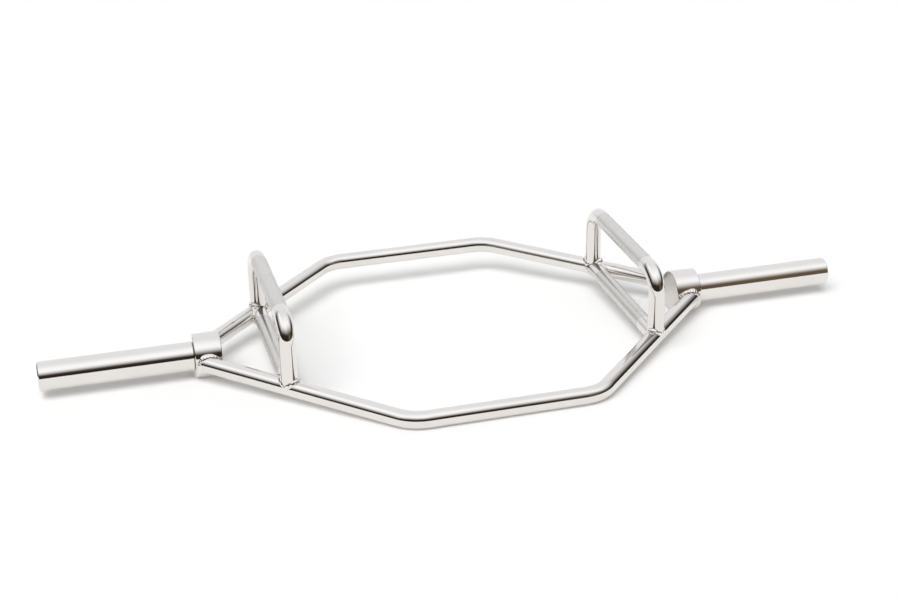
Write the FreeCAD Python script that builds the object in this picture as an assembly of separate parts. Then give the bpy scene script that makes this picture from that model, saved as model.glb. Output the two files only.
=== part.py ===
import FreeCAD
import Part
import math
import os

Vector = FreeCAD.Vector

# Overall sizes of the bar in millimetres. X runs along the bar, Y to the rear and Z up.
# The origin is on the ground under the middle of the bar, which lies level on its two hubs.
hub_spacing = 867.0
rail_spacing = 660.0
straight_length = 312.0
frame_drop = 3.5

# Round tube for the rails and, a little thinner, for the low grips and the high handles.
tube_diameter = 28.6
grip_step = 0.6
tube_wall = 4.0
rail_bend_radius = 62.0

# Grips: the low ones lie between the rails, the high ones stand on posts above them.
# The length is counted between the rails' centrelines, and sets how far out the grips lie.
grip_length = 316.4
high_grip_rise = 114.0
handle_bend_radius = 38.0

# Fillet welds: the legs on the tubes, and the height of the bead over a flat fillet.
hub_weld_leg = 5.0
tube_weld_leg = 4.5
weld_crown = 0.8
weld_stations = 12

# Hubs: solid turned cylinders with a blind socket for the spindle.
# The land is what a rail's end leaves bare on each side, and takes the weld.
hub_diameter = 75.0
hub_land = 3.29
hub_chamfer = 1.0
socket_floor = 12.0

# Spindles, which the loading sleeves turn on.
spindle_chamfer = 1.0
groove_depth = 0.7
groove_land = 3.0
groove_play = 0.1

# Loading sleeves for plates with a 50 mm hole. The lip is the wall that is left round the bushes' flanges.
sleeve_diameter = 50.0
sleeve_length = 258.0
sleeve_lip = 3.35
sleeve_end_chamfer = 2.0
sleeve_root_chamfer = 0.5
seam_gap = 0.5

# Flanged bronze bushes, pressed into both ends of a sleeve.
bush_length = 40.0
bush_wall = 4.0
flange_width = 2.5
flange_thickness = 3.0
flange_clearance = 0.1
running_clearance = 0.05
thrust_play = 0.3

# Retaining washer and spring ring at the outer end of a spindle.
washer_thickness = 2.0
washer_clearance = 0.15
washer_margin = 0.6
ring_thickness = 1.5
ring_width = 3.5
ring_opening = 5.0
lug_width = 5.0
lug_reach = 1.5
lug_hole_diameter = 2.0

# Plugs that close the outer ends of the sleeves.
cap_thickness = 6.0
cap_recess = 1.0
cap_chamfer = 0.8
cap_gap = 2.0

# Radii about the axis of the sleeves, from the outside to the spindle.
hub_radius = hub_diameter / 2
sleeve_radius = sleeve_diameter / 2
counterbore_radius = sleeve_radius - sleeve_lip
flange_radius = counterbore_radius - flange_clearance
bush_radius = flange_radius - flange_width
bush_bore_radius = bush_radius - bush_wall
spindle_radius = bush_bore_radius - running_clearance
groove_radius = spindle_radius - groove_depth
washer_radius = counterbore_radius - washer_margin
washer_bore_radius = spindle_radius + washer_clearance

# Heights, and the line of the four slanting tubes, whose centrelines run into the middle of the hubs' sides.
axis_height = hub_radius
rail_height = axis_height - frame_drop
tube_radius = tube_diameter / 2
grip_radius = tube_radius - grip_step / 2
rail_y = rail_spacing / 2
corner_x = straight_length / 2
hub_middle_x = hub_spacing / 2
slope = (hub_middle_x - corner_x) / (rail_y - hub_radius)
apex_x = hub_middle_x + slope * hub_radius
grip_y = grip_length / 2
grip_x = apex_x - slope * grip_y

# Places along the bar, counted from its middle.
hub_half_length = tube_radius * math.sqrt(1 + slope ** 2) + hub_land
hub_inner_x = hub_middle_x - hub_half_length
hub_face_x = hub_middle_x + hub_half_length
sleeve_root_x = hub_face_x + seam_gap
tip_x = sleeve_root_x + sleeve_length
socket_end_x = hub_inner_x + socket_floor
cap_outer_x = tip_x - cap_recess
cap_inner_x = cap_outer_x - cap_thickness
spindle_tip_x = cap_inner_x - cap_gap
groove_outer_x = spindle_tip_x - groove_land
groove_inner_x = groove_outer_x - ring_thickness - groove_play
ring_inner_x = groove_inner_x + groove_play / 2
washer_inner_x = ring_inner_x - washer_thickness
outer_flange_x = washer_inner_x - thrust_play
outer_shoulder_x = outer_flange_x - flange_thickness
inner_flange_x = hub_face_x + thrust_play
inner_shoulder_x = inner_flange_x + flange_thickness

SIDES = {"left": -1, "right": 1}
RAILS = {"front": -1, "rear": 1}


def turned(outline):
    """Solid of revolution about the sleeves' axis, from (x, radius) corners."""
    corners = [Vector(x, 0, axis_height + radius) for x, radius in outline]
    face = Part.Face(Part.makePolygon(corners + corners[:1]))
    return face.revolve(Vector(0, 0, axis_height), Vector(1, 0, 0), 360)


def mirrored(shape, side, rail=1):
    """A shape drawn for the right rear quarter, mirrored to the left for side -1 and to the front for rail -1."""
    if side < 0:
        shape = shape.mirror(Vector(0, 0, 0), Vector(1, 0, 0))
    if rail < 0:
        shape = shape.mirror(Vector(0, 0, 0), Vector(0, 1, 0))
    return shape


def trimmed(shape, *cutters):
    """The main piece of a solid that is left after each cutter has been taken out of it."""
    for cutter in cutters:
        shape = shape.cut(cutter)
    return max(shape.Solids, key=lambda solid: solid.Volume)


def bent_line(corners, bend_radius):
    """Straight runs joined by tangent arcs at the inner corners."""
    edges = []
    start = corners[0]
    for before, corner, after in zip(corners, corners[1:], corners[2:]):
        back = (before - corner).normalize()
        onward = (after - corner).normalize()
        half_angle = back.getAngle(onward) / 2
        tangent_length = bend_radius / math.tan(half_angle)
        bisector = (back + onward).normalize()
        middle = corner + bisector * (bend_radius / math.sin(half_angle) - bend_radius)
        arc_start = corner + back * tangent_length
        arc_end = corner + onward * tangent_length
        edges.append(Part.LineSegment(start, arc_start).toShape())
        edges.append(Part.Arc(arc_start, middle, arc_end).toShape())
        start = arc_end
    edges.append(Part.LineSegment(start, corners[-1]).toShape())
    return Part.Wire(edges)


def round_bar(corners, bend_radius, radius):
    """Solid round bar along a bent line."""
    disc = Part.Face(Part.Wire(Part.makeCircle(radius, corners[0], corners[1] - corners[0])))
    return bent_line(corners, bend_radius).makePipe(disc)


def tube(corners, bend_radius, radius):
    """Round tube along a bent line."""
    bore = round_bar(corners, bend_radius, radius - tube_wall)
    return round_bar(corners, bend_radius, radius).cut(bore)


def pressed_on(point, bar):
    """The point on the round side of a bar that lies nearest to a point; a bar is (point, axis, radius)."""
    bar_point, bar_axis, bar_radius = bar
    foot = bar_point + bar_axis * (point - bar_point).dot(bar_axis)
    return foot + (point - foot).normalize() * bar_radius


def fillet_weld(main, branch, main_leg, branch_leg):
    """Ring of weld where a branch bar leaves a thicker main bar; their axes pass closest at the two points."""
    main_point, main_axis, main_radius = main
    branch_point, branch_axis, branch_radius = branch
    lean = main_axis.dot(branch_axis)
    slant = math.sqrt(1 - lean ** 2)
    across = main_axis.cross(branch_axis).normalize()
    ahead = (main_axis - branch_axis * lean).normalize()
    outward = (branch_axis - main_axis * lean).normalize()
    offset = (main_point - branch_point).dot(across)
    sections = []
    for station in range(weld_stations):
        angle = 2 * math.pi * (station + 0.5) / weld_stations
        branch_normal = ahead * math.cos(angle) + across * math.sin(angle)
        sideways = branch_radius * math.sin(angle) - offset
        rise = math.sqrt(main_radius ** 2 - sideways ** 2)
        along = (rise + lean * branch_radius * math.cos(angle)) / slant
        seam = branch_point + branch_normal * branch_radius + branch_axis * along
        main_normal = (across * sideways + outward * rise) * (1 / main_radius)
        seam_way = main_normal.cross(branch_normal).normalize()
        toe = pressed_on(seam + seam_way.cross(main_normal) * main_leg, main)
        head = pressed_on(seam + branch_normal.cross(seam_way) * branch_leg, branch)
        open_way = (main_normal + branch_normal).normalize()
        crest = (toe + head) * 0.5 + open_way * weld_crown
        root = seam - open_way * (tube_wall / 2)
        sections.append(Part.makePolygon([root, toe, crest, head, root]))
    return Part.makeLoft(sections, True, True, True)


def spring_ring():
    """Open ring for the spindle's groove, with a lug and a plier hole on each side of its opening."""
    outer = groove_radius + ring_width
    base = Vector(ring_inner_x, 0, axis_height)
    along = Vector(1, 0, 0)
    ring = Part.makeCylinder(outer, ring_thickness, base, along)
    lug_height = outer + lug_reach - groove_radius
    lugs_width = ring_opening + 2 * lug_width
    lug_corner = base + Vector(0, -lugs_width / 2, groove_radius)
    lugs = Part.makeBox(ring_thickness, lugs_width, lug_height, lug_corner)
    ring = ring.fuse(lugs).cut(Part.makeCylinder(groove_radius, ring_thickness, base, along))
    ring = ring.cut(Part.makeBox(ring_thickness, ring_opening, 2 * outer, base + Vector(0, -ring_opening / 2, 0)))
    for edge in (-1, 1):
        hole_y = edge * (ring_opening + lug_width) / 2
        hole_centre = base + Vector(0, hole_y, groove_radius + lug_height / 2)
        ring = ring.cut(Part.makeCylinder(lug_hole_diameter / 2, ring_thickness, hole_centre, along))
    return ring.removeSplitter()


def flanged_bush(flange_x, inward):
    """Bush that runs from its flange's free face along the bar; inward is 1 to the tip, -1 to the middle."""
    shoulder_x = flange_x + inward * flange_thickness
    end_x = flange_x + inward * bush_length
    return turned([
        (flange_x, bush_bore_radius),
        (flange_x, flange_radius),
        (shoulder_x, flange_radius),
        (shoulder_x, bush_radius),
        (end_x, bush_radius),
        (end_x, bush_bore_radius),
    ])


hub = turned([
    (hub_inner_x, 0),
    (hub_inner_x, hub_radius - hub_chamfer),
    (hub_inner_x + hub_chamfer, hub_radius),
    (hub_face_x - hub_chamfer, hub_radius),
    (hub_face_x, hub_radius - hub_chamfer),
    (hub_face_x, spindle_radius),
    (socket_end_x, spindle_radius),
    (socket_end_x, 0),
])

spindle = turned([
    (socket_end_x, 0),
    (socket_end_x, spindle_radius),
    (groove_inner_x, spindle_radius),
    (groove_inner_x, groove_radius),
    (groove_outer_x, groove_radius),
    (groove_outer_x, spindle_radius),
    (spindle_tip_x - spindle_chamfer, spindle_radius),
    (spindle_tip_x, spindle_radius - spindle_chamfer),
    (spindle_tip_x, 0),
])

sleeve = turned([
    (sleeve_root_x, counterbore_radius),
    (sleeve_root_x, sleeve_radius - sleeve_root_chamfer),
    (sleeve_root_x + sleeve_root_chamfer, sleeve_radius),
    (tip_x - sleeve_end_chamfer, sleeve_radius),
    (tip_x, sleeve_radius - sleeve_end_chamfer),
    (tip_x, counterbore_radius),
    (outer_shoulder_x, counterbore_radius),
    (outer_shoulder_x, bush_radius),
    (inner_shoulder_x, bush_radius),
    (inner_shoulder_x, counterbore_radius),
])

washer = turned([
    (washer_inner_x, washer_bore_radius),
    (washer_inner_x, washer_radius),
    (ring_inner_x, washer_radius),
    (ring_inner_x, washer_bore_radius),
])

end_cap = turned([
    (cap_inner_x, 0),
    (cap_inner_x, counterbore_radius),
    (cap_outer_x - cap_chamfer, counterbore_radius),
    (cap_outer_x, counterbore_radius - cap_chamfer),
    (cap_outer_x, 0),
])

end_pieces = {
    "hub": hub,
    "spindle": spindle,
    "sleeve": sleeve,
    "inner_bush": flanged_bush(inner_flange_x, 1),
    "outer_bush": flanged_bush(outer_flange_x, -1),
    "retaining_washer": washer,
    "spring_ring": spring_ring(),
    "end_cap": end_cap,
}

# Centrelines of the rear rail, from hub to hub, of the right low grip and of the right high handle.
apex = Vector(apex_x, 0, rail_height)
corner = Vector(corner_x, rail_y, rail_height)
rail_line = [Vector(-apex.x, apex.y, apex.z), Vector(-corner.x, corner.y, corner.z), corner, apex]
rear_foot = Vector(grip_x, grip_y, rail_height)
front_foot = Vector(grip_x, -grip_y, rail_height)
upward = Vector(0, 0, 1)
frontward = Vector(0, -1, 0)
shoulder_rise = upward * high_grip_rise
handle_line = [rear_foot, rear_foot + shoulder_rise, front_foot + shoulder_rise, front_foot]

# Solid bars that cut the copes, where one piece ends on the round side of another.
hub_line = Part.makeCylinder(hub_radius, 2 * tip_x, Vector(-tip_x, 0, axis_height), Vector(1, 0, 0))
rear_bar = round_bar(rail_line, rail_bend_radius, tube_radius)
front_bar = mirrored(rear_bar, 1, -1)
low_bar = Part.makeCylinder(grip_radius, grip_length, rear_foot, frontward)
handle_bar = round_bar(handle_line, handle_bend_radius, grip_radius)

rail_tube = trimmed(tube(rail_line, rail_bend_radius, tube_radius), hub_line)
low_grip_tube = tube([rear_foot, front_foot], 0, grip_radius)
handle_tube = tube(handle_line, handle_bend_radius, grip_radius)
end_pieces["low_grip"] = trimmed(low_grip_tube, rear_bar, front_bar)
end_pieces["high_handle"] = trimmed(handle_tube, rear_bar, front_bar, low_bar)

# The same bars at the right rear joints, as the point, axis and radius that the welds follow.
slant_way = (corner - apex).normalize()
hub_at_rail = (Vector(apex_x, 0, axis_height), Vector(1, 0, 0), hub_radius)
rail_at_hub = (apex, slant_way, tube_radius)
rail_at_grip = (rear_foot, slant_way, tube_radius)
low_grip_at_rail = (rear_foot, frontward, grip_radius)
post_at_rail = (rear_foot, upward, grip_radius)
hub_weld = fillet_weld(hub_at_rail, rail_at_hub, hub_land - hub_chamfer, hub_weld_leg)
low_grip_weld = fillet_weld(rail_at_grip, low_grip_at_rail, tube_weld_leg, tube_weld_leg)
post_weld = fillet_weld(rail_at_grip, post_at_rail, tube_weld_leg, tube_weld_leg)
corner_pieces = {
    "hub_weld": trimmed(hub_weld, hub_line, rear_bar),
    "low_grip_weld": trimmed(low_grip_weld, rear_bar, low_bar, handle_bar),
    "post_weld": trimmed(post_weld, rear_bar, handle_bar, low_bar, low_grip_weld),
}

nodes = {}
for rail_name, rail in RAILS.items():
    nodes[rail_name + "_rail"] = mirrored(rail_tube, 1, rail)
for side_name, side in SIDES.items():
    for piece_name, piece in end_pieces.items():
        nodes[side_name + "_" + piece_name] = mirrored(piece, side)
    for rail_name, rail in RAILS.items():
        for piece_name, piece in corner_pieces.items():
            nodes[side_name + "_" + rail_name + "_" + piece_name] = mirrored(piece, side, rail)

os.makedirs("parts", exist_ok=True)
for name, shape in nodes.items():
    shape.exportStep("parts/" + name + ".step")
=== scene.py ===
import math

import bmesh
import bpy
from mathutils import Matrix, Vector


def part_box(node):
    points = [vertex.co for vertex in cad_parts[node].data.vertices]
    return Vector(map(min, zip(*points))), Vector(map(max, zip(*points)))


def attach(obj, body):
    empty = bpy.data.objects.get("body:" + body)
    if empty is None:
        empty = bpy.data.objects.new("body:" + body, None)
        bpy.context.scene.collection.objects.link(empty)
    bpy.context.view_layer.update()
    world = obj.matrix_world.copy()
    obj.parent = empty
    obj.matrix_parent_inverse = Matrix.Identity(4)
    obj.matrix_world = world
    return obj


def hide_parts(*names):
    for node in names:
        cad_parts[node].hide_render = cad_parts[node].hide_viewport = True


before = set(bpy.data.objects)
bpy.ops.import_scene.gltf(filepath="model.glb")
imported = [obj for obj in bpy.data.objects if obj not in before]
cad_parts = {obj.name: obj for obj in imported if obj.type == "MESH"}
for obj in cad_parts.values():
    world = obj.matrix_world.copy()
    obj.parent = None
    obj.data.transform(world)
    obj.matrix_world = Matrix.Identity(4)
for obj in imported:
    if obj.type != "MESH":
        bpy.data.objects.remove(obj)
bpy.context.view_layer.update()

# Hubs: two drums turned from solid steel and plated bright, one at each end of the frame.
# The rails are welded to their round sides, and plates on the sleeves stop against their outer faces.
# A spindle sits in a blind socket in each, and their inner faces keep the dull grain of the lathe.
SIDES = {"left": -1, "right": 1}
hub_low, hub_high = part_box("right_hub")
spindle_low, spindle_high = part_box("right_spindle")
axis_z = (hub_low.z + hub_high.z) / 2
hub_radius = (hub_high.z - hub_low.z) / 2
hub_middle_x = (hub_low.x + hub_high.x) / 2
spindle_radius = (spindle_high.z - spindle_low.z) / 2
hub_chamfer = 0.001
chamfer_round = 0.0003
corner_land = 0.001
turning_steps = 128
same_place = 1e-6
smooth_angle = math.radians(35)
plating = (0.80, 0.779, 0.754, 1)
plating_shade = (0.74, 0.718, 0.690, 1)
# The dulled colour is dull plating, and in a knurl's grooves it is also painted shade.
dulled_and_shaded_plating = (0.40, 0.38, 0.355, 1)
shade_share = 0.6
dull_and_shade_share = 0.25
polish_roughness = 0.035
dulled_roughness = 0.28
belt_wave_depth = 0.00006
face_dullness = 0.7


class Finish:
    """One socket in a finish's nodes. Sums, differences and products of finishes add Math nodes."""

    def __init__(self, tree, socket=None):
        self.tree = tree
        self.socket = socket

    def node(self, kind, settings, sockets, output=0):
        """Adds a node, makes its settings, fills or links its sockets and gives one of its outputs."""
        made = self.tree.nodes.new(kind)
        for name, value in settings.items():
            setattr(made, name, value)
        for name, value in sockets.items():
            if isinstance(value, Finish):
                self.tree.links.new(value.socket, made.inputs[name])
            else:
                made.inputs[name].default_value = value
        return Finish(self.tree, made.outputs[output] if made.outputs else None)

    def maths(self, operation, first, second):
        """One Math node on two values."""
        return self.node("ShaderNodeMath", {"operation": operation}, {0: first, 1: second})

    def __add__(self, other):
        return self.maths("ADD", self, other)

    def __sub__(self, other):
        return self.maths("SUBTRACT", self, other)

    def __rsub__(self, other):
        return self.maths("SUBTRACT", other, self)

    def __mul__(self, other):
        return self.maths("MULTIPLY", self, other)

    __radd__ = __add__
    __rmul__ = __mul__

    def blend(self, low, high):
        """The colour that goes from low to high as this value goes from 0 to 1."""
        return self.node("ShaderNodeMix", {"data_type": "RGBA"}, {0: self, 6: low, 7: high}, 2)

    def step(self, low, high):
        """0 where this value is under low, 1 where it is over high, and a soft step between."""
        ends = {"Value": self, "From Min": low, "From Max": high}
        return self.node("ShaderNodeMapRange", {"interpolation_type": "SMOOTHSTEP"}, ends)

    def noise(self, scale, detail):
        """Noise about 0.5 over these coordinates; scale counts its lumps along each metre of X, Y and Z."""
        stretched = self.node("ShaderNodeVectorMath", {"operation": "MULTIPLY"}, {0: self, 1: scale})
        return self.node("ShaderNodeTexNoise", {}, {"Vector": stretched, "Scale": 1.0, "Detail": detail})


def new_finish(name):
    """An empty material, and its Object coordinates to start from."""
    material = bpy.data.materials.new(name)
    material.use_nodes = True
    material.node_tree.nodes.clear()
    place = Finish(material.node_tree).node("ShaderNodeTexCoord", {}, {}, "Object")
    return material, place


def bright_plating(name, mark_scale, mark_depth, haze):
    """Polished plating: slow waves from the polishing belt, hazy handling patches, and fine marks one way.
    A mesh's own dullness attribute says where a cut or rolled surface under the plating takes the shine away
    and darkens it; in a knurl's grooves that darker colour is painted shade."""
    material, place = new_finish(name)
    cloud = place.noise((9, 9, 9), 3).step(0.35, 0.75)
    patches = place.noise((55, 55, 55), 4).step(0.45, 0.8)
    marks = place.noise(mark_scale, 3)
    waves = place.noise((28, 28, 28), 1)
    dull_and_groove_shade = place.node("ShaderNodeAttribute", {"attribute_name": "dull_and_groove_shade"}, {}, "Fac")
    clean = (cloud * shade_share).blend(plating, plating_shade)
    colour = (dull_and_groove_shade * dull_and_shade_share).blend(clean, dulled_and_shaded_plating)
    roughness = polish_roughness + haze * patches + marks.step(0.5, 0.85) * haze + dull_and_groove_shade * dulled_roughness
    height = waves * belt_wave_depth + marks * mark_depth
    normal = place.node("ShaderNodeBump", {}, {"Strength": 1.0, "Distance": 1.0, "Height": height})
    sockets = {"Base Color": colour, "Metallic": 1.0, "Roughness": roughness, "Normal": normal}
    surface = place.node("ShaderNodeBsdfPrincipled", {}, sockets)
    place.node("ShaderNodeOutputMaterial", {}, {"Surface": surface})
    return material


def turned(outline, side):
    """Solid turned about the bar's axis from (x, radius) corners, each a little rounded as a file leaves it.
    A long straight face has a narrow land at each end, which keeps the shading of its corners out of it."""
    bm = bmesh.new()
    corners = [bm.verts.new((side * x, 0, axis_z + radius)) for x, radius in outline]
    for start, end in zip(corners, corners[1:] + corners[:1]):
        stops = [start, end]
        if (end.co - start.co).length > 4 * corner_land:
            land = (end.co - start.co).normalized() * corner_land
            stops[1:1] = [bm.verts.new(start.co + land), bm.verts.new(end.co - land)]
        for first, second in zip(stops, stops[1:]):
            bm.edges.new((first, second))
    off_axis = [corner for corner, (x, radius) in zip(corners, outline) if radius > 0]
    bmesh.ops.bevel(bm, geom=off_axis, offset=chamfer_round, segments=2, affect="VERTICES",
                    profile=0.5, material=-1)
    bmesh.ops.spin(bm, geom=bm.verts[:] + bm.edges[:], cent=(0, 0, axis_z), axis=(1, 0, 0),
                   angle=2 * math.pi, steps=turning_steps, use_merge=True)
    bmesh.ops.remove_doubles(bm, verts=bm.verts, dist=same_place)
    bmesh.ops.recalc_face_normals(bm, faces=bm.faces)
    return bm


def piece(name, bm, finish):
    """Object of a finished bmesh, smooth apart from its hard edges."""
    for face in bm.faces:
        face.smooth = True
    for edge in bm.edges:
        edge.smooth = edge.calc_face_angle(0) < smooth_angle
    mesh = bpy.data.meshes.new(name)
    bm.to_mesh(mesh)
    bm.free()
    mesh.materials.append(finish)
    made = bpy.data.objects.new(name, mesh)
    bpy.context.scene.collection.objects.link(made)
    return made


hub_outline = [
    (hub_low.x, 0),
    (hub_low.x, hub_radius - hub_chamfer),
    (hub_low.x + hub_chamfer, hub_radius),
    (hub_high.x - hub_chamfer, hub_radius),
    (hub_high.x, hub_radius - hub_chamfer),
    (hub_high.x, spindle_radius),
    (spindle_low.x, spindle_radius),
    (spindle_low.x, 0),
]
hub_finish = bright_plating("hub_plating", (1400, 8, 8), 0.0000012, 0.05)
for side_name, side in SIDES.items():
    drum = turned(hub_outline, side)
    dull_and_groove_shade = drum.verts.layers.float.new("dull_and_groove_shade")
    for vert in drum.verts:
        vert[dull_and_groove_shade] = face_dullness if abs(abs(vert.co.x) - hub_low.x) < same_place else 0
    hub = piece(side_name + "_drum_hub", drum, hub_finish)
    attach(hub, "frame")
    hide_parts(side_name + "_hub")

# Rails: one length of round steel tube at the front and one at the rear, bent twice in a tube bender.
# They are coped and welded to the hubs' round sides, then polished and plated with the whole frame.
ENDS = {"front": -1, "rear": 1}
rail_low, rail_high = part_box("rear_rail")
grip_low, grip_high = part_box("right_low_grip")
handle_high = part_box("right_high_handle")[1]
rail_z = (rail_low.z + rail_high.z) / 2
tube_radius = (rail_high.z - rail_low.z) / 2
grip_radius = (grip_high.z - grip_low.z) / 2
rail_y = rail_high.y - tube_radius
grip_x = (grip_low.x + grip_high.x) / 2
grip_y = handle_high.y - grip_radius
slope = (hub_middle_x - grip_x) / (grip_y - hub_radius)
corner_x = hub_middle_x - slope * (rail_y - hub_radius)
apex_x = hub_middle_x + slope * hub_radius
rail_bend_radius = 0.062
rail_sink = 0.015
bend_steps = 32
bend_land = 0.002
tube_sides = 88


class RoundBar:
    """A round bar as a bender feeds it: a ring of edges that is pushed on, bent and at last closed."""

    def __init__(self, start, heading, radius):
        self.bm = bmesh.new()
        self.point = start.copy()
        self.heading = heading.normalized()
        turn = self.heading.to_track_quat("Z", "Y").to_matrix().to_4x4()
        bmesh.ops.create_circle(self.bm, cap_ends=True, radius=radius, segments=tube_sides,
                                matrix=Matrix.Translation(start) @ turn)
        self.ring = self.bm.edges[:]

    def push(self, distance):
        """Straight on by one row of faces."""
        pushed = bmesh.ops.extrude_edge_only(self.bm, edges=self.ring)["geom"]
        verts = [item for item in pushed if isinstance(item, bmesh.types.BMVert)]
        bmesh.ops.translate(self.bm, verts=verts, vec=self.heading * distance)
        self.ring = [item for item in pushed if isinstance(item, bmesh.types.BMEdge)]
        self.ring = [edge for edge in self.ring if all(vert in verts for vert in edge.verts)]
        self.point += self.heading * distance

    def feed(self, distance):
        """Straight run with a narrow land at each end, which keeps the shading of the bends out of it."""
        self.push(bend_land)
        self.push(distance - 2 * bend_land)
        self.push(bend_land)

    def bend(self, towards, radius):
        """Bend until the bar heads towards a direction."""
        axis = self.heading.cross(towards).normalized()
        angle = self.heading.angle(towards)
        centre = self.point + axis.cross(self.heading) * radius
        ring = self.ring + list(dict.fromkeys(vert for edge in self.ring for vert in edge.verts))
        bent = bmesh.ops.spin(self.bm, geom=ring, cent=centre, axis=axis, angle=angle, steps=bend_steps)
        self.ring = [item for item in bent["geom_last"] if isinstance(item, bmesh.types.BMEdge)]
        self.point = centre + Matrix.Rotation(angle, 3, axis) @ (self.point - centre)
        self.heading = towards.normalized()

    def close(self):
        """Caps the end and gives the finished bar."""
        bmesh.ops.contextual_create(self.bm, geom=self.ring)
        bmesh.ops.recalc_face_normals(self.bm, faces=self.bm.faces)
        return self.bm


rail_finish = bright_plating("tube_plating", (260, 260, 260), 0.0000015, 0.035)
for end_name, end in ENDS.items():
    left_apex = Vector((-apex_x, 0, rail_z))
    left_corner = Vector((-corner_x, end * rail_y, rail_z))
    out = (left_corner - left_apex).normalized()
    back = Vector((out.x, -out.y, 0))
    along = Vector((1, 0, 0))
    tangent = rail_bend_radius * math.tan(out.angle(along) / 2)
    mouth = hub_radius / abs(out.y) - rail_sink
    slanting = (left_corner - left_apex).length - tangent - mouth
    bar = RoundBar(left_apex + out * mouth, out, tube_radius)
    bar.feed(slanting)
    bar.bend(along, rail_bend_radius)
    bar.feed(2 * (corner_x - tangent))
    bar.bend(back, rail_bend_radius)
    bar.feed(slanting)
    rail = piece(end_name + "_bent_rail", bar.close(), rail_finish)
    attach(rail, "frame")
    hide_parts(end_name + "_rail")

# Hub welds: a hand-laid bead round each rail's end on a hub, plated over with the frame.
# Each bead is a row of overlapping ripples, higher in the tight corner and flatter at the open side.
hub_weld_leg = 0.006
hub_land_leg = 0.0022
weld_crown = 0.0013
ripple_pitch = 0.0048
ripple_height = 0.00042
ripple_bow = 2.2
lump_share = 0.20
flush_share = 0.6
bead_sides = 14
stations_per_ripple = 6
pit_colour = (0.27, 0.235, 0.20, 1)
bead_roughness = 0.06
bead_grain_roughness = 0.12
bead_grain_depth = 0.00005
pit_roughness = 0.3


def weld_bead(main, branch, end_leg, side_leg, branch_leg, seed):
    """Ring of weld where a branch bar leaves a main bar; each bar is (point, axis, radius). The bead reaches
    end_leg along the main bar, side_leg round it and branch_leg up the branch. Its seed places its lumps."""
    main_point, main_axis, main_radius = main
    branch_point, branch_axis, branch_radius = branch
    lean = main_axis.dot(branch_axis)
    slant = math.sqrt(1 - lean ** 2)
    across = main_axis.cross(branch_axis).normalized()
    ahead = (main_axis - branch_axis * lean).normalized()
    outward = (branch_axis - main_axis * lean).normalized()
    offset = (main_point - branch_point).dot(across)
    ripples = round(2 * math.pi * branch_radius / slant / ripple_pitch)
    bm = bmesh.new()
    toe_line = bm.verts.layers.float.new("toe_line")
    section = Matrix.Translation((1, 0, 0)) @ Matrix.Rotation(math.pi / 2, 4, "X")
    bmesh.ops.create_circle(bm, radius=0.5, segments=bead_sides, matrix=section)
    bmesh.ops.spin(bm, geom=bm.verts[:] + bm.edges[:], cent=(0, 0, 0), axis=(0, 0, 1), angle=2 * math.pi,
                   steps=ripples * stations_per_ripple, use_merge=True)
    for vert in bm.verts:
        angle = math.atan2(vert.co.y, vert.co.x)
        wide = 2 * (math.hypot(vert.co.x, vert.co.y) - 1)
        high = 2 * vert.co.z
        branch_normal = ahead * math.cos(angle) + across * math.sin(angle)
        sideways = branch_radius * math.sin(angle) - offset
        rise = math.sqrt(main_radius ** 2 - sideways ** 2)
        reach = (rise + lean * branch_radius * math.cos(angle)) / slant
        seam = branch_point + branch_normal * branch_radius + branch_axis * reach
        main_normal = (across * sideways + outward * rise) / main_radius
        seam_way = main_normal.cross(branch_normal).normalized()
        toe = seam + seam_way.cross(main_normal) * (end_leg + (side_leg - end_leg) * math.sin(angle) ** 2)
        head = seam + branch_normal.cross(seam_way) * branch_leg
        open_way = (main_normal + branch_normal).normalized()
        middle = (toe + head) / 2
        depth = (middle - seam).length + weld_crown
        lumps = 1 + lump_share * (math.sin(3 * angle + seed) + 0.6 * math.sin(7 * angle + 2 * seed))
        ripple = math.cos(ripples * angle + ripple_bow * wide ** 2)
        flush = max(main_normal.dot(branch_normal), 0)
        crown = (weld_crown * lumps + ripple_height * ripple * max(high, 0)) * (1 - flush_share * flush)
        over_face = (head - toe) / 2 * wide * lumps
        off_face = open_way * (depth * (high - 1) / 2 + crown * (high + 1) / 2)
        vert.co = middle + over_face + off_face
        vert[toe_line] = wide ** 4
    bmesh.ops.recalc_face_normals(bm, faces=bm.faces)
    if bm.calc_volume(signed=True) < 0:
        bmesh.ops.reverse_faces(bm, faces=bm.faces)
    return bm


def bead_plating(name):
    """Plated weld: bright on the ripples, with dark pits along its edges where the plating didn't take."""
    material, place = new_finish(name)
    grain = place.noise((420, 420, 420), 3)
    edge = place.node("ShaderNodeAttribute", {"attribute_name": "toe_line"}, {}, "Fac")
    pits = place.noise((150, 150, 150), 2).step(0.55, 0.67) * edge
    colour = pits.blend(plating, pit_colour)
    roughness = bead_roughness + grain * bead_grain_roughness + pits * pit_roughness
    height = grain * bead_grain_depth
    normal = place.node("ShaderNodeBump", {}, {"Strength": 1.0, "Distance": 1.0, "Height": height})
    sockets = {"Base Color": colour, "Metallic": 1.0, "Roughness": roughness, "Normal": normal}
    surface = place.node("ShaderNodeBsdfPrincipled", {}, sockets)
    place.node("ShaderNodeOutputMaterial", {}, {"Surface": surface})
    return material


bead_finish = bead_plating("bead_plating")


def corner_bars(side, end):
    """The hub, rail, low grip and post at one corner, each as (point, axis, radius)."""
    apex = Vector((side * apex_x, 0, rail_z))
    foot = Vector((side * grip_x, end * grip_y, rail_z))
    slant_way = (foot - apex).normalized()
    return {
        "hub": (Vector((side * apex_x, 0, axis_z)), Vector((side, 0, 0)), hub_radius),
        "rail_end": (apex, slant_way, tube_radius),
        "rail": (foot, slant_way, tube_radius),
        "low_grip": (foot, Vector((0, -end, 0)), grip_radius),
        "post": (foot, Vector((0, 0, 1)), grip_radius),
    }


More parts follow.
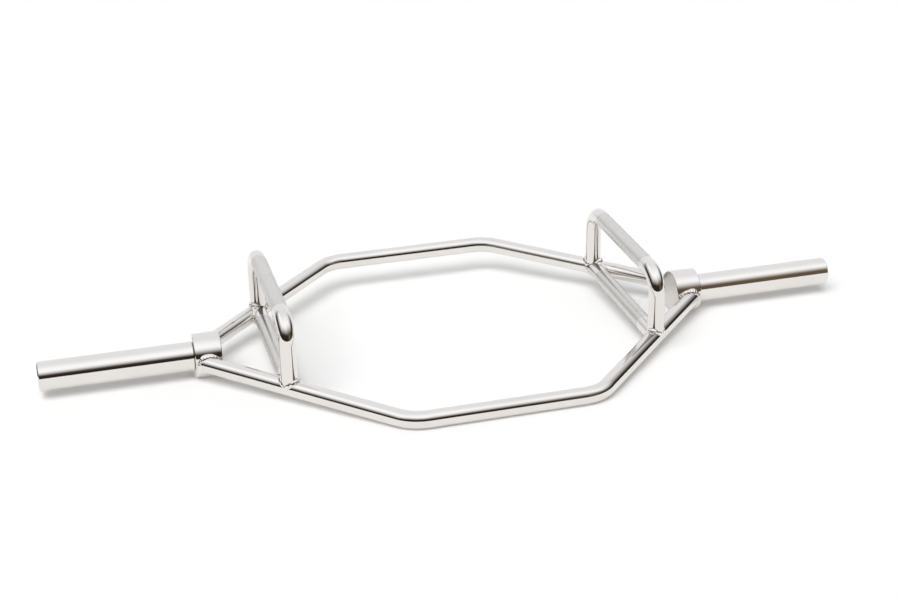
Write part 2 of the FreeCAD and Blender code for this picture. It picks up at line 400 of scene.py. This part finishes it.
def lay_beads(joint, main, branch, legs, first_seed):
    """Beads of one kind of joint at the four corners of the frame."""
    for side_name, side in SIDES.items():
        for end_name, end in ENDS.items():
            bars = corner_bars(side, end)
            bead = weld_bead(bars[main], bars[branch], *legs, first_seed + side + 2 * end)
            corner_name = side_name + "_" + end_name
            weld = piece(corner_name + "_" + joint + "_bead", bead, bead_finish)
            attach(weld, "frame")
            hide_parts(corner_name + "_" + joint + "_weld")


lay_beads("hub", "hub", "rail_end", (hub_land_leg, hub_weld_leg, hub_weld_leg), 0)

# Low grips: straight tubes welded between the slanting runs of the rails, at the height of the rails.
# The middle of each has a fine diamond knurl rolled into it before welding, and all of it is plated.
knurl_pitch = 2 * math.pi * grip_radius / (tube_sides / 2)
knurl_depth = 0.00016
knurl_length = 0.212
knurl_land = 0.0004
# Knurl crests are dulled; the grooves are darker still, as painted shade.
crest_dullness = 0.5
groove_dullness_and_shade = 1.0
row_slack = 1e-5


def knurled(bm, x, z, knurl_low, knurl_high):
    """Presses a diamond knurl into a bar along Y: in each row every second point goes in, in turn with
    the points of the next row. Crests are dulled, and pressed points are darker still as painted shade in
    the grooves."""
    dull_and_groove_shade = bm.verts.layers.float.new("dull_and_groove_shade")
    row_pitch = knurl_pitch / 2
    pressed = set()
    for vert in bm.verts:
        from_axis = Vector((vert.co.x - x, 0, vert.co.z - z))
        if knurl_low - row_slack < vert.co.y < knurl_high + row_slack:
            column = round(math.atan2(from_axis.z, from_axis.x) / (2 * math.pi) * tube_sides)
            row = round((vert.co.y - knurl_low) / row_pitch)
            vert[dull_and_groove_shade] = crest_dullness
            if (row + column) % 2:
                vert.co -= from_axis.normalized() * knurl_depth
                # A pressed point gets the darker colour: painted shade in the groove, on top of its
                # dullness.
                vert[dull_and_groove_shade] = groove_dullness_and_shade
                pressed.add(vert)
    rolled = [face for face in bm.faces if any(vert in pressed for vert in face.verts)]
    bmesh.ops.triangulate(bm, faces=rolled, quad_method="SHORT_EDGE")
    return bm


grip_finish = bright_plating("grip_plating", (300, 300, 300), 0.0000015, 0.06)
knurl_rows = 2 * round(knurl_length / knurl_pitch)
knurl_half = knurl_rows * knurl_pitch / 4


def roll_grip(bar, smooth):
    """Straight run with rows for a knurl between two smooth ends, and narrow lands at its edges."""
    end_run = [smooth - 2 * knurl_land, knurl_land, knurl_land]
    for distance in end_run + [knurl_pitch / 2] * knurl_rows + end_run[::-1]:
        bar.push(distance)


for side_name, side in SIDES.items():
    bar = RoundBar(Vector((side * grip_x, -grip_y, rail_z)), Vector((0, 1, 0)), grip_radius)
    roll_grip(bar, grip_y - knurl_half)
    rolled = knurled(bar.close(), side * grip_x, rail_z, -knurl_half, knurl_half)
    grip = piece(side_name + "_knurled_low_grip", rolled, grip_finish)
    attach(grip, "frame")
    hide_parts(side_name + "_low_grip")

# Low grip welds: a hand-laid bead round each coped end of a low grip, on the round side of the rail.
# Grip and rail are at one height, so the bead is flat on top and thick in the acute corner.
tube_weld_leg = 0.0056
lay_beads("low_grip", "rail", "low_grip", (tube_weld_leg, tube_weld_leg, tube_weld_leg), 1)

# High handles: tubes bent to a U that stand on the rails right over the low grips.
# The straight grip has the same knurl as the low grips, and its ends, the bends and the posts are smooth.
high_z = handle_high.z - grip_radius
handle_bend_radius = 0.038
for side_name, side in SIDES.items():
    bar = RoundBar(Vector((side * grip_x, -grip_y, rail_z)), Vector((0, 0, 1)), grip_radius)
    bar.feed(high_z - rail_z - handle_bend_radius)
    bar.bend(Vector((0, 1, 0)), handle_bend_radius)
    roll_grip(bar, grip_y - handle_bend_radius - knurl_half)
    bar.bend(Vector((0, 0, -1)), handle_bend_radius)
    bar.feed(high_z - rail_z - handle_bend_radius)
    rolled = knurled(bar.close(), side * grip_x, high_z, -knurl_half, knurl_half)
    handle = piece(side_name + "_knurled_high_handle", rolled, grip_finish)
    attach(handle, "frame")
    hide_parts(side_name + "_high_handle")

# Post welds: a hand-laid bead round the coped foot of each post of the high handles, on top of the rail.
# At the rail's sides the post runs flush with it, and there the bead is narrow and almost smooth.
post_side_leg = 0.003
lay_beads("post", "rail", "post", (tube_weld_leg, post_side_leg, tube_weld_leg), 2)

# Spindles, retaining washers and spring rings: ground bar, zinc plated plate and blackened spring wire.
# They sit inside the sleeves and show only through the seam at the hub, so the frame's own solids stay.
inner_grain_depth = 0.00002
inner_grain_roughness = 0.2
steel_tones = ((0.46, 0.46, 0.46, 1), (0.62, 0.62, 0.61, 1))
zinc_tones = ((0.48, 0.49, 0.50, 1), (0.66, 0.66, 0.64, 1))
black_tones = ((0.03, 0.03, 0.035, 1), (0.08, 0.08, 0.085, 1))


def inner_metal(name, tones, scale, roughness):
    """Bare or thinly treated metal: two tones of one colour in a fine grain, and gloss that follows it."""
    material, place = new_finish(name)
    grain = place.noise(scale, 4)
    height = grain * inner_grain_depth
    normal = place.node("ShaderNodeBump", {}, {"Strength": 1.0, "Distance": 1.0, "Height": height})
    colour = grain.blend(*tones)
    gloss = roughness + grain * inner_grain_roughness
    sockets = {"Base Color": colour, "Metallic": 1.0, "Roughness": gloss, "Normal": normal}
    surface = place.node("ShaderNodeBsdfPrincipled", {}, sockets)
    place.node("ShaderNodeOutputMaterial", {}, {"Surface": surface})
    return material


ground_steel = inner_metal("ground_steel", steel_tones, (900, 20, 20), 0.18)
zinc_plate = inner_metal("zinc_plate", zinc_tones, (180, 180, 180), 0.28)
black_spring = inner_metal("black_spring", black_tones, (350, 350, 350), 0.35)
for side_name in SIDES:
    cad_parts[side_name + "_spindle"].material_slots[0].material = ground_steel
    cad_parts[side_name + "_retaining_washer"].material_slots[0].material = zinc_plate
    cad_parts[side_name + "_spring_ring"].material_slots[0].material = black_spring

# Bushes: flanged rings of sintered bronze, pressed into both ends of a sleeve and full of oil.
# Their flanges close the seam between sleeve and hub, and the frame's own solids stay here too.
bronze_tones = ((0.36, 0.22, 0.10, 1), (0.66, 0.46, 0.24, 1))
bronze = inner_metal("sintered_bronze", bronze_tones, (1600, 1600, 1600), 0.32)
for side_name in SIDES:
    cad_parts[side_name + "_inner_bush"].material_slots[0].material = bronze
    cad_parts[side_name + "_outer_bush"].material_slots[0].material = bronze

# Sleeves: thick steel tube, turned and polished, that carries the plates and turns on the spindle.
# Plates sliding on and off leave faint lengthwise marks in the plating.
sleeve_low, sleeve_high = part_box("right_sleeve")
cap_low, cap_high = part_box("right_end_cap")
inner_flange_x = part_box("right_inner_bush")[0].x
outer_flange_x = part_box("right_outer_bush")[1].x
sleeve_radius = (sleeve_high.z - sleeve_low.z) / 2
cap_radius = (cap_high.z - cap_low.z) / 2
flange_thickness = 0.003
bush_radius = 0.01905
tip_chamfer = 0.002
root_chamfer = 0.0005
sleeve_outline = [
    (sleeve_low.x, cap_radius),
    (sleeve_low.x, sleeve_radius - root_chamfer),
    (sleeve_low.x + root_chamfer, sleeve_radius),
    (sleeve_high.x - tip_chamfer, sleeve_radius),
    (sleeve_high.x, sleeve_radius - tip_chamfer),
    (sleeve_high.x, cap_radius),
    (outer_flange_x - flange_thickness, cap_radius),
    (outer_flange_x - flange_thickness, bush_radius),
    (inner_flange_x + flange_thickness, bush_radius),
    (inner_flange_x + flange_thickness, cap_radius),
]
sleeve_finish = bright_plating("sleeve_plating", (5, 420, 420), 0.0000015, 0.05)
for side_name, side in SIDES.items():
    sleeve = piece(side_name + "_loading_sleeve", turned(sleeve_outline, side), sleeve_finish)
    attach(sleeve, side_name + "_turning_sleeve")
    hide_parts(side_name + "_sleeve")

# End caps: plugs turned from steel bar, with a small chamfer, and plated like the sleeves.
# They are pressed into the sleeves' tips, just under flush, and turn with them.
cap_chamfer = 0.0008
cap_outline = [
    (cap_low.x, 0),
    (cap_low.x, cap_radius),
    (cap_high.x - cap_chamfer, cap_radius),
    (cap_high.x, cap_radius - cap_chamfer),
    (cap_high.x, 0),
]
cap_finish = bright_plating("cap_plating", (300, 300, 300), 0.000002, 0.08)
for side_name, side in SIDES.items():
    cap = piece(side_name + "_sleeve_plug", turned(cap_outline, side), cap_finish)
    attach(cap, side_name + "_turning_sleeve")
    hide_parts(side_name + "_end_cap")

# Floor: a wide pale sheet. The bar has tipped forward on it, onto the front rail, so in the bar's own
# frame the floor leans: it touches the round sides of the hubs and of the front rail.
floor_size = 40
floor_glow_share = 0.3
tip_drop = hub_radius - tube_radius - (axis_z - rail_z)
floor_lean = math.asin(tip_drop / rail_y)
floor_drop = Matrix.Translation((0, 0, axis_z * math.cos(floor_lean) - hub_radius))
floor_place = Matrix.Rotation(-floor_lean, 4, "X") @ floor_drop
floor_mesh = bmesh.new()
bmesh.ops.create_grid(floor_mesh, x_segments=1, y_segments=1, size=floor_size, matrix=floor_place)
floor_finish, place = new_finish("pale_floor")
seen = place.node("ShaderNodeLightPath", {}, {}, "Is Camera Ray")
mirrored = place.node("ShaderNodeLightPath", {}, {}, "Is Glossy Ray")
paper = place.noise((3, 3, 3), 2).step(0.2, 0.8)
lit = paper.blend((0.80, 0.80, 0.80, 1), (0.82, 0.82, 0.815, 1))
shown = paper.blend((0.98, 0.98, 0.98, 1), (1.0, 1.0, 0.995, 1))
sheet_colour = seen.maths("MAXIMUM", seen, mirrored).blend(lit, shown)
glow_colour = paper.blend((1.02, 0.985, 0.955, 1), (1.04, 1.0, 0.97, 1))
sheet = place.node("ShaderNodeBsdfDiffuse", {}, {"Color": sheet_colour})
glow = place.node("ShaderNodeEmission", {}, {"Color": glow_colour})
surface = place.node("ShaderNodeMixShader", {}, {0: mirrored * floor_glow_share, 1: sheet, 2: glow})
place.node("ShaderNodeOutputMaterial", {}, {"Surface": surface})
floor = piece("floor", floor_mesh, floor_finish)

# Studio light: a wide soft lamp above the bar, off to its front and its left, and an even fill all round.
# The camera sees the room as plain white. The metal mirrors pale light above, a pale backdrop behind the
# bar, and the dark and the brown of the room low down elsewhere.
lamp_lean = math.radians(26)
lamp_tilt = math.radians(18)
overhead_lamp = bpy.data.lights.new("overhead_lamp", "SUN")
overhead_lamp.angle = math.radians(50)
overhead_lamp.energy = 2.1
lamp = bpy.data.objects.new("overhead_lamp", overhead_lamp)
lamp.matrix_world = Matrix.Rotation(lamp_lean - floor_lean, 4, "X") @ Matrix.Rotation(-lamp_tilt, 4, "Y")
lamp.visible_glossy = False
bpy.context.scene.collection.objects.link(lamp)
fill_light = (0.45, 0.45, 0.45, 1)
front_light = (1.22, 1.23, 1.25, 1)
rear_light = (0.94, 0.95, 0.97, 1)
left_light = (1.20, 1.21, 1.23, 1)
dark_wall = (0.034, 0.022, 0.016, 1)
brown_wall = (0.14, 0.102, 0.062, 1)
ceiling_edge = 0.32
ceiling_full = 0.885
side_drop = 0.12
brown_edge_rise = 0.03
brown_full_rise = 0.06
backdrop_right = 0.174
backdrop_back = 0.985
room = bpy.data.worlds.new("studio")
bpy.context.scene.world = room
room.use_nodes = True
room.node_tree.nodes.clear()
way = Finish(room.node_tree).node("ShaderNodeTexCoord", {}, {}, "Generated")
level = way.node("ShaderNodeVectorRotate", {"rotation_type": "X_AXIS"}, {"Vector": way, "Angle": floor_lean})
flat = way.node("ShaderNodeVectorMath", {"operation": "MULTIPLY"}, {0: level, 1: (1, 1, 0)})
heading = way.node("ShaderNodeVectorMath", {"operation": "NORMALIZE"}, {0: flat})
height = way.node("ShaderNodeSeparateXYZ", {}, {0: level}, "Z")
backward = way.node("ShaderNodeSeparateXYZ", {}, {0: level}, "Y")
rightward = way.node("ShaderNodeSeparateXYZ", {}, {0: level}, "X")
heading_back = way.node("ShaderNodeSeparateXYZ", {}, {0: heading}, "Y")
heading_right = way.node("ShaderNodeSeparateXYZ", {}, {0: heading}, "X")
beside = heading_back.step(-0.9, -0.3)
brown = heading_right.step(0.24, 0.42) * (1 - beside)
pale_from = ceiling_edge - beside * side_drop + brown * brown_edge_rise
pale_to = ceiling_full - beside * side_drop + brown * brown_full_rise
ceiling = height.step(pale_from, pale_to)
backdrop = (heading_right * backdrop_right + heading_back * backdrop_back).step(0.5, 0.85)
soft_light = backward.step(-0.5, 0.4).blend(front_light, rear_light)
off_left = (rightward.step(-0.65, -0.25) + (1 - height.step(0.45, 0.75))).step(0, 1)
soft_light = off_left.blend(left_light, soft_light)
dark_room = brown.blend(dark_wall, brown_wall)
surroundings = ceiling.maths("MAXIMUM", ceiling, backdrop).blend(dark_room, soft_light)
seen = way.node("ShaderNodeLightPath", {}, {}, "Is Camera Ray")
mirrored = way.node("ShaderNodeLightPath", {}, {}, "Is Glossy Ray")
colour = seen.blend(mirrored.blend(fill_light, surroundings), (1, 1, 1, 1))
light = way.node("ShaderNodeBackground", {}, {"Color": colour, "Strength": 1.0})
way.node("ShaderNodeOutputWorld", {}, {"Surface": light})

# Camera: a long lens, a little to the left of the bar and well above it, as in the photograph.
# Its place, aim and lens come from fitting the bar's own edges to the photograph's.
view_place = (-0.6776, -2.5462, 1.2800)
view_turn = -0.2587
view_dip = 0.4281
view_roll = -0.0218
view = bpy.data.cameras.new("view")
view.sensor_width = 36
view.lens = 66.15
camera = bpy.data.objects.new("view", view)
bpy.context.scene.collection.objects.link(camera)
turned_to_bar = Matrix.Rotation(view_turn, 4, "Z")
dipped = Matrix.Rotation(math.pi / 2 - view_dip, 4, "X")
rolled_over = Matrix.Rotation(view_roll, 4, "Z")
camera.matrix_world = Matrix.Translation(view_place) @ turned_to_bar @ dipped @ rolled_over
bpy.context.scene.camera = camera
bpy.context.scene.view_settings.view_transform = "Standard"

bpy.context.view_layer.update()
